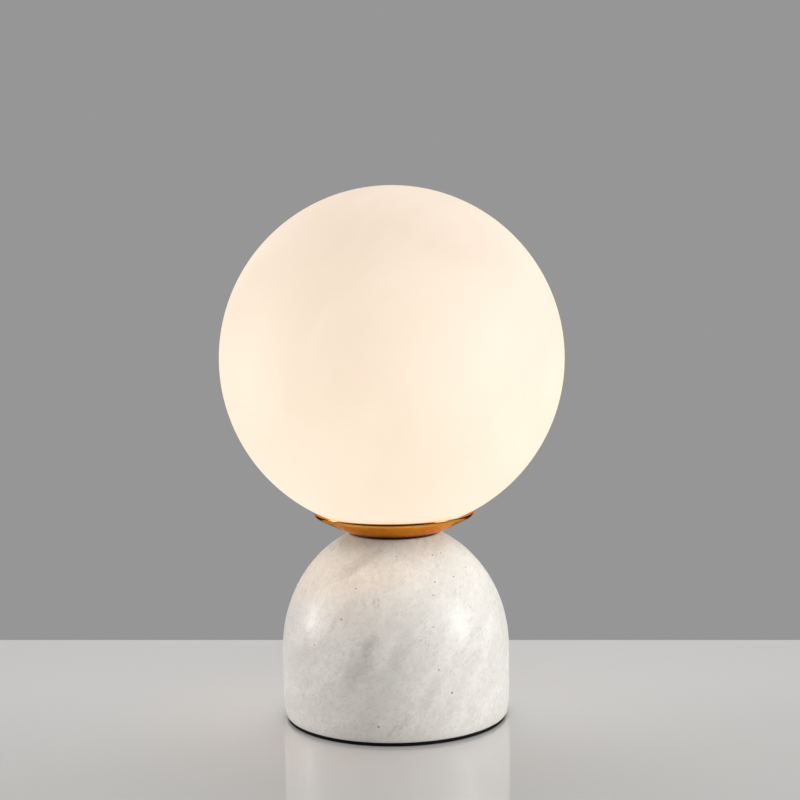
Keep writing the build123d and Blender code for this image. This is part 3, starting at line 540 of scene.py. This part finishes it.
# colour of the mask and of the tracks under it
BOARDS = {
    "light_board": ((0.74, 0.74, 0.72), (0.80, 0.72, 0.30)),
    "circuit_board": ((0.02, 0.12, 0.05), (0.05, 0.22, 0.09)),
}
SCRATCH_TURN = (24, 10, 33)
SCRATCH_SIZES = (0.12, 2.4, 2.4)
CERAMIC = ((0.74, 0.73, 0.69), (0.82, 0.81, 0.78))
SPECK = (0.35, 0.32, 0.28)
DIFFUSER_BODY = (0.6, 0.59, 0.56)
STRIPE_Z = (32.8, 33.1)     # the earth lead is green below and yellow above a wavy line


def make_moulded(name, colour, rough, grain, depth, spread, inside):
    """A moulded plastic or rubber with a fine surface texture and slight shade variation."""
    f = Finish(name, Subsurface_Weight=inside)
    dark = tuple(c * (1 - spread) for c in colour)
    light = tuple(min(1, c * (1 + spread)) for c in colour)
    f.set(Base_Color=f.mix(f.span(f.noise(7, 4), 0.3, 0.7), dark, light),
          Roughness=f.span(f.noise(grain * 3, 4), 0.3, 0.7, rough - 0.06, rough + 0.08))
    return f.bump((f.noise(grain * 8, 2), 0.15, depth * 2), (f.noise(grain, 3, 0.6), 0.3, depth))


def make_plated(name, colour, stain, rough, pitch=None):
    """A plated or bare metal: fine scratches, dull spots and, on a screw, its thread."""
    f = Finish(name, Metallic=1.0)
    spots = f.noise(3.5, 5, 0.65)
    scratch = f.noise(1, 4, 0.7, f.stretched(ORIGIN, SCRATCH_TURN, SCRATCH_SIZES))
    tint = f.mix(f.span(spots, 0.4, 0.72), colour, stain)
    f.set(Base_Color=f.mix(f.span(scratch, 0.55, 0.7, 0, 0.2), tint, tuple(c * 0.6 for c in colour)))
    f.set(Roughness=f.math("ADD", f.span(spots, 0.3, 0.7, rough - 0.05, rough + 0.1),
                           f.span(scratch, 0.5, 0.7, 0, 0.08)))
    layers = [(spots, 0.1, 0.05), (scratch, 0.12, 0.01)]
    if pitch:
        x, y, z = f.axes(f.place)
        round_share = f.math("DIVIDE", f.math("ARCTAN2", y, x), 2 * pi)
        turns = f.math("SUBTRACT", f.math("DIVIDE", z, pitch), round_share)
        layers.insert(0, (f.math("SINE", f.math("MULTIPLY", turns, 2 * pi)), 1.0, pitch * 0.3))
    return f.bump(*layers)


def make_ceramic():
    """Unglazed white ceramic with fine grey specks."""
    f = Finish("white_ceramic")
    speck = f.span(f.cells(0.8), 0.05, 0.14, 1, 0)
    colour = f.mix(f.span(f.noise(9), 0.3, 0.7), *CERAMIC)
    f.set(Base_Color=f.mix(f.math("MULTIPLY", speck, 0.35), colour, SPECK),
          Roughness=f.span(f.noise(2), 0.3, 0.7, 0.5, 0.66))
    return f.bump((f.noise(0.7, 4), 0.3, 0.05), (speck, 0.3, -0.04))


def make_diffuser():
    """Frosted bulb shell, alight."""
    f = Finish("diffuser", IOR=1.5, Base_Color=DIFFUSER_BODY)
    frost = f.noise(0.5, 3)
    glow = f.mix(f.span(f.noise(22), 0.3, 0.7), tone(255, 238, 206), tone(255, 246, 224))
    f.set(Emission_Color=glow, Emission_Strength=f.span(f.noise(15), 0.3, 0.7, 0.92, 1.0),
          Roughness=f.span(frost, 0.3, 0.7, 0.36, 0.46))
    return f.bump((frost, 0.1, 0.02))


def make_board(name, mask, track):
    """A printed board: tracks as straight runs under a coloured mask."""
    f = Finish(name)
    runs = f.node("TexBrick", {"Vector": f.place, "Scale": 0.35, "Mortar Size": 0.05, "Color1": mask,
                               "Color2": tuple(c * 0.85 for c in mask), "Mortar": track}, "Color")
    f.set(Base_Color=f.mix(0.75, runs, mask), Roughness=f.span(f.noise(2), 0.3, 0.7, 0.3, 0.45))
    return f.bump((f.noise(1.2, 3), 0.15, 0.02))


def make_earth_sleeve():
    """Green insulation with a yellow stripe that runs with the lead."""
    f = Finish("green_pvc")
    height = f.math("ADD", f.axes(f.place)[2], f.math("MULTIPLY", f.noise(5), 1.5))
    f.set(Base_Color=f.mix(f.span(height, *STRIPE_Z), tone(52, 128, 44), tone(226, 204, 40)),
          Roughness=f.span(f.noise(2), 0.3, 0.7, 0.34, 0.46))
    return f.bump((f.noise(0.6, 3), 0.2, 0.01))


FINISHES = {
    "marble": make_marble(),
    "opal_glass": make_opal(),
    "satin_brass": make_spun_brass(),
    "foam": make_foam(),
    "white_ceramic": make_ceramic(),
    "diffuser": make_diffuser(),
    "green_pvc": make_earth_sleeve(),
}
for make, rows in ((make_moulded, MOULDED), (make_plated, PLATED), (make_board, BOARDS)):
    FINISHES.update({name: make(name, *row) for name, row in rows.items()})

slot_of = {part["node"]: part["material_slot"] for part in frame["record"]["subparts"]}
for node, thing in frame["nodes"].items():
    for place in thing.material_slots:
        place.material = FINISHES["tube_thread" if node == "threaded_tube" else slot_of[node]]


# ---- Visible pieces

def add(name, maker, node, body="base"):
    """Makes the piece that stands for a node, with its material, and ties it to its body."""
    slot = slot_of[node]
    mesh = to_mesh(name, maker)
    mesh.materials.append(FINISHES[slot])
    piece = in_scene(name, mesh)
    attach(piece, body)
    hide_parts(node)
    return piece


def make_globe():
    inner = GLOBE_RADIUS - GLOBE_WALL
    neck = OPENING_RADIUS + GLOBE_WALL
    centre = (0, GLOBE_Z)
    profile = arc(centre, (inner, inner), 90, -degrees(acos(OPENING_RADIUS / inner)), steps=88)
    profile += [(OPENING_RADIUS, NECK_LOW_Z, NECK_EDGE), (neck, NECK_LOW_Z, NECK_EDGE)]
    profile += arc(centre, (GLOBE_RADIUS,) * 2, -degrees(acos(neck / GLOBE_RADIUS)), 90, steps=96)
    return turned(rounded(profile), segments=192, closed=False)


def make_stone():
    flat = TOP_FLAT_RADIUS / BASE_RADIUS
    dome_height = (STONE_TOP_Z - WALL_TOP_Z) / sqrt(1 - flat ** 2)
    foot_top = STONE_Z + FOOT_CURVE
    foot = arc((BASE_RADIUS - FOOT_TUCK, foot_top), (FOOT_TUCK, FOOT_CURVE), -90, 0, steps=20)
    dome = arc((0, WALL_TOP_Z), (BASE_RADIUS, dome_height), 0, degrees(acos(flat)), steps=56)
    part = (WALL_TOP_Z - foot_top) / WALL_PARTS
    wall = [(BASE_RADIUS, foot_top + i * part) for i in range(1, WALL_PARTS)]
    profile = [(*foot[0], STONE_FOOT_EDGE), *foot[2:], *wall, *dome[:-1], (*dome[-1], STONE_TOP_EDGE)]
    profile += [(TUBE_HOLE_RADIUS, z, TUBE_HOLE_EDGE) for z in (STONE_TOP_Z, CAVITY_TOP_Z)]
    profile += [(CAVITY_RADIUS, CAVITY_TOP_Z, CAVITY_CORNER), (CAVITY_RADIUS, STONE_Z, CAVITY_EDGE)]
    return turned(rounded(profile), segments=256)


def make_inlet_cutter():
    """The cord's channel from the cavity to the back, widened where it comes out."""
    deep = CAVITY_RADIUS - 2 * INLET_CHANNEL_RADIUS - SPOT_FACE_Y
    out = BASE_RADIUS + 1 - SPOT_FACE_Y
    wide = SPOT_FACE_RADIUS + SPOT_FACE_BEVEL
    profile = [(0, deep), (INLET_CHANNEL_RADIUS, deep), (INLET_CHANNEL_RADIUS, 0), (SPOT_FACE_RADIUS, 0)]
    profile += [(SPOT_FACE_RADIUS, SPOT_FACE_WALL), (wide, SPOT_FACE_WALL + 2 * SPOT_FACE_BEVEL)]
    profile += [(wide, out), (0, out)]
    maker = turned(profile, segments=72, closed=False)
    to_back = Matrix.Translation(Vector((0, SPOT_FACE_Y, INLET_Z)) * MM) @ Matrix.Rotation(-pi / 2, 4, "X")
    bmesh.ops.transform(maker, matrix=to_back, verts=maker.verts)
    return maker


def make_pad():
    profile = [(0, 0), (PAD_RADIUS, 0, PAD_LOW_EDGE), (PAD_RADIUS, STONE_Z, PAD_TOP_EDGE), (0, STONE_Z)]
    return turned(rounded(profile), segments=256, closed=False)


def make_dish():
    """A shallow bowl round a flat floor, with its lip bent upright."""
    across = DISH_RIM_RADIUS - DISH_FLOOR_RADIUS
    up = DISH_TOP_Z - DISH_LIP - GASKET_TOP_Z
    chord = sqrt(across ** 2 + up ** 2)
    reach = sqrt(BOWL_RADIUS ** 2 - chord ** 2 / 4)
    centre_r = DISH_FLOOR_RADIUS + across / 2 - reach * up / chord
    centre_z = GASKET_TOP_Z + up / 2 + reach * across / chord

    def slope(start, end, radius, steps=11):
        run = [start + (end - start) * i / steps for i in range(steps + 1)]
        return [(r, centre_z - sqrt(radius ** 2 - (r - centre_r) ** 2)) for r in run]

    inner = BOWL_RADIUS - DISH_WALL
    inner_rim = DISH_RIM_RADIUS - DISH_WALL
    floor_z = GASKET_TOP_Z + DISH_WALL
    inner_floor = centre_r + sqrt(inner ** 2 - (centre_z - floor_z) ** 2)
    outside = slope(DISH_FLOOR_RADIUS, DISH_RIM_RADIUS, BOWL_RADIUS)
    inside = slope(inner_rim, inner_floor, inner)
    profile = [(DISH_HOLE_RADIUS, GASKET_TOP_Z), (*outside[0], DISH_FLOOR_BEND), *outside[1:-1]]
    profile += [(*outside[-1], LIP_BEND), (DISH_RIM_RADIUS, DISH_TOP_Z, DISH_RIM_EDGE)]
    profile += [(inner_rim, DISH_TOP_Z, DISH_RIM_EDGE), (*inside[0], LIP_BEND - DISH_WALL), *inside[1:-1]]
    profile += [(*inside[-1], DISH_FLOOR_BEND), (DISH_HOLE_RADIUS, floor_z)]
    return turned(rounded(profile, steps=8), segments=224)


def threaded(start, radii, rows, top, end, thread):
    """A thin shell whose upright wall carries a rounded thread, outside and inside.

    start and end are the outline before and after the wall. rows are the heights between which the
    wall has its rings, and thread is the thread's lower and upper end and its depth.
    """
    outer, inner = radii
    low, high = rows
    thread_low, thread_high, depth = thread
    heights = [low + i * THREAD_STEP for i in range(int((high - low) / THREAD_STEP) + 1)]
    wall = [(outer, z) for z in (*heights, top)] + [(inner, z) for z in (top, *reversed(heights))]

    def wound(radius, height, angle):
        wave = cos(2 * pi * (height / THREAD_PITCH - angle / (2 * pi)))
        return radius - depth * fade(height, thread_low, thread_high, THREAD_PITCH) * (1 - wave) / 2

    return turned([*start, *wall, *end], segments=96, shape=wound)


def make_bulb_cap():
    outer, inner = CAP_SHOULDER_RADII
    start = [(CAP_THROAT_RADIUS, CAP_LOW_Z), (outer, CAP_SHOULDER_Z - 0.2)]
    end = [(inner, CAP_SHOULDER_Z + 0.1), (CAP_THROAT_RADIUS, CAP_LOW_Z + 1.0)]
    return threaded(start, CAP_RADII, CAP_ROWS, CAP_TOP_Z, end, CAP_THREAD)


def make_screw_shell():
    outer, inner = SHELL_FLOOR_RADII
    floor_top = SHELL_Z + SHELL_FLOOR
    start = [(SHELL_HOLE_RADIUS, SHELL_Z), (outer, SHELL_Z)]
    end = [(inner, floor_top), (SHELL_HOLE_RADIUS, floor_top)]
    return threaded(start, SHELL_RADII, SHELL_ROWS, SHELL_TOP_Z, end, SHELL_THREAD)


def make_sleeve():
    """The lampholder's sleeve with grip grooves round its outside."""
    top_radius = SLEEVE_RADIUS - SLEEVE_TAPER
    lip_z = SLEEVE_TOP_Z - SLEEVE_LIP
    height = SLEEVE_TOP_Z - SLEEVE_Z

    def grooved(radius, z, angle):
        if radius < top_radius - 0.05:      # the inside has no grooves
            return radius
        wave = sqrt(max(0, -cos(GRIP_GROOVES * angle)))
        return radius - GROOVE_DEPTH * fade(z, GROOVE_LOW_Z, GROOVE_TOP_Z, GROOVE_RUN_OUT) * wave

    shares = [i / SLEEVE_ROWS for i in range(1, SLEEVE_ROWS)]
    profile = [(SLEEVE_BORE, SLEEVE_Z, SLEEVE_FOOT_EDGE), (SLEEVE_RADIUS, SLEEVE_Z, SLEEVE_FOOT_EDGE)]
    profile += [(SLEEVE_RADIUS - SLEEVE_TAPER * share, SLEEVE_Z + height * share) for share in shares]
    profile += [(top_radius, SLEEVE_TOP_Z, SLEEVE_TOP_EDGE), (SLEEVE_MOUTH, SLEEVE_TOP_Z, SLEEVE_BORE_EDGE)]
    profile += [(SLEEVE_MOUTH, lip_z, SLEEVE_FOOT_EDGE)]
    profile += [(SLEEVE_BORE - SLEEVE_TAPER, lip_z, SLEEVE_BORE_EDGE), (SLEEVE_BORE, SLEEVE_SHOULDER_Z)]
    return turned(rounded(profile), segments=8 * GRIP_GROOVES, shape=grooved)


add("globe_glass", make_globe(), "globe", "globe")
stone = add("stone_dome", make_stone(), "marble_base")
cut(stone, make_inlet_cutter())
add("foot_pad", make_pad(), "base_pad")
add("spun_dish", make_dish(), "dish")
add("bulb_screw_cap", make_bulb_cap(), "bulb_cap", "bulb")
add("threaded_shell", make_screw_shell(), "screw_shell")
add("grip_sleeve", make_sleeve(), "holder_sleeve")


# ---- Camera and stage

CAMERA_PLACE = (5.5, -1121.4, 332.0)
CAMERA_PITCH = 5.04
CAMERA_ROLL = -0.8
FOCAL_PIXELS = 1544.0
FRAME_PIXELS = 800.0

TABLE_BACK = 222.9          # the table's back edge behind the lamp's axis
TABLE_SLANT = -0.0575       # the edge is level in the picture, though the camera is rolled
TABLE_HALF = 1500.0
TABLE_FRONT = -230.0
TABLE_DEPTH = 25.0
TABLE_PAINTED_LIGHT = (-190, 120)   # painted light: the table's colour gets paler over this stretch, towards the back, where more light falls

camera = in_scene("camera", bpy.data.cameras.new("camera"))
camera.data.sensor_width = 36
camera.data.lens = FOCAL_PIXELS / FRAME_PIXELS * camera.data.sensor_width
camera.data.clip_end = 50
camera.matrix_world = (Matrix.Translation(Vector(CAMERA_PLACE) * MM)
                       @ Matrix.Rotation(radians(90 - CAMERA_PITCH), 4, "X")
                       @ Matrix.Rotation(radians(CAMERA_ROLL), 4, "Z"))
bpy.context.scene.camera = camera
bpy.context.scene.view_settings.view_transform = "Standard"


def make_table():
    maker = bmesh.new()
    turn = TABLE_SLANT * TABLE_HALF
    corners = [(-TABLE_HALF, TABLE_FRONT), (TABLE_HALF, TABLE_FRONT),
               (TABLE_HALF, TABLE_BACK + turn), (-TABLE_HALF, TABLE_BACK - turn)]
    top, low = [[maker.verts.new((x * MM, y * MM, z * MM)) for x, y in corners] for z in (0, -TABLE_DEPTH)]
    maker.faces.new(top)
    maker.faces.new(low[::-1])
    for i in range(4):
        k = (i + 1) % 4
        maker.faces.new((top[i], low[i], low[k], top[k]))
    f = Finish("table", IOR=1.9, Roughness=0.025)
    near = f.mix(f.span(f.noise(500, 2), 0.3, 0.7), tone(228, 229, 227), tone(232, 232, 231))
    # painted light: the table turns paler towards the back, standing in for the stronger light there
    f.set(Base_Color=f.mix(f.span(f.axes(f.place)[1], *TABLE_PAINTED_LIGHT), near, tone(245, 245, 245)))
    mesh = to_mesh("table", maker)
    mesh.materials.append(f.bump((f.noise(220, 2), 0.02, 0.3)))
    return in_scene("table", mesh)


table = make_table()


# ---- Light

BACKGROUND = tone(150, 150, 150)
AMBIENT = (0.535, 0.53, 0.53)
DARK_ROOM = (0.02, 0.02, 0.02)
BACKDROP_SHARE = (0.84, 0.92)   # where reflections turn from the room to the backdrop

LAMPS_AIM = (0, 0, 100)
# azimuth from the front, positive to the right, and elevation in degrees; distance, size, power in
# watts, and whether it lights the table too
SOFT_BOXES = {
    "right_box": (71, 17, 1500, (480, 480), 11.8, False),
    "left_box": (-96, 11, 1500, (300, 380), 7.0, False),
    "top_box": (15, 62, 1900, (1500, 1500), 2.6, True),
    "back_right_box": (140, 34, 1600, (600, 600), 1.8, False),
    "back_left_box": (-145, 30, 1600, (600, 600), 1.4, False),
    "back_top_box": (176, 58, 1900, (1200, 900), 7.5, True),
}
GLOW_PLACE = (-34, -22, 152)
GLOW_RADIUS = 66.0
GLOW_POWER = 0.012
GLOW_COLOUR = (1.0, 0.42, 0.1)
GLOW_SPREAD = 90


def make_studio():
    """A grey backdrop behind the table, and an even light from all round for surfaces that aren't glossy.

    Reflections show the backdrop too, and a dark room to the front and sides.
    """
    world = bpy.data.worlds.new("studio")
    bpy.context.scene.world = world
    world.use_nodes = True
    w = Nodes(world.node_tree)
    to_back = w.axes(w.node("TexCoord", output="Generated"))[1]
    ray = w.node("LightPath").node.outputs
    room = w.mix(w.span(to_back, *BACKDROP_SHARE), DARK_ROOM, BACKGROUND)
    light = w.mix(ray["Is Glossy Ray"], AMBIENT, room)
    direct = w.math("MAXIMUM", ray["Is Camera Ray"], ray["Is Transmission Ray"])
    w.feed(world.node_tree.nodes["Background"].inputs["Color"], w.mix(direct, light, BACKGROUND))


def area_lamp(name, shape, size, power):
    """A lamp that the camera doesn't see."""
    lamp = bpy.data.lights.new(name, "AREA")
    lamp.shape = shape
    lamp.size, lamp.size_y = [s * MM for s in size]
    lamp.energy = power
    holder = in_scene(name, lamp)
    holder.visible_camera = False
    return holder


def soft_box(name, azimuth, elevation, distance, size, power, on_table):
    """A rectangular lamp that faces the object. One that isn't on the table isn't mirrored in it either."""
    holder = area_lamp(name, "RECTANGLE", size, power)
    if not on_table:
        left_out = bpy.data.collections.new(name + "_left_out")
        left_out.objects.link(table)
        left_out.collection_objects[0].light_linking.link_state = "EXCLUDE"
        holder.light_linking.receiver_collection = left_out
    a, e = radians(azimuth), radians(elevation)
    offset = Vector((sin(a) * cos(e), -cos(a) * cos(e), sin(e))) * distance
    holder.location = (Vector(LAMPS_AIM) + offset) * MM
    holder.rotation_euler = offset.to_track_quat("Z", "Y").to_euler()


def under_glow():
    """The lit globe's warm light on the dome below it."""
    holder = area_lamp("under_glow", "DISK", (2 * GLOW_RADIUS, 2 * GLOW_RADIUS), GLOW_POWER)
    holder.data.color = GLOW_COLOUR
    holder.data.spread = radians(GLOW_SPREAD)
    holder.location = Vector(GLOW_PLACE) * MM
    holder.visible_glossy = False


make_studio()
for box_name, row in SOFT_BOXES.items():
    soft_box(box_name, *row)
under_glow()
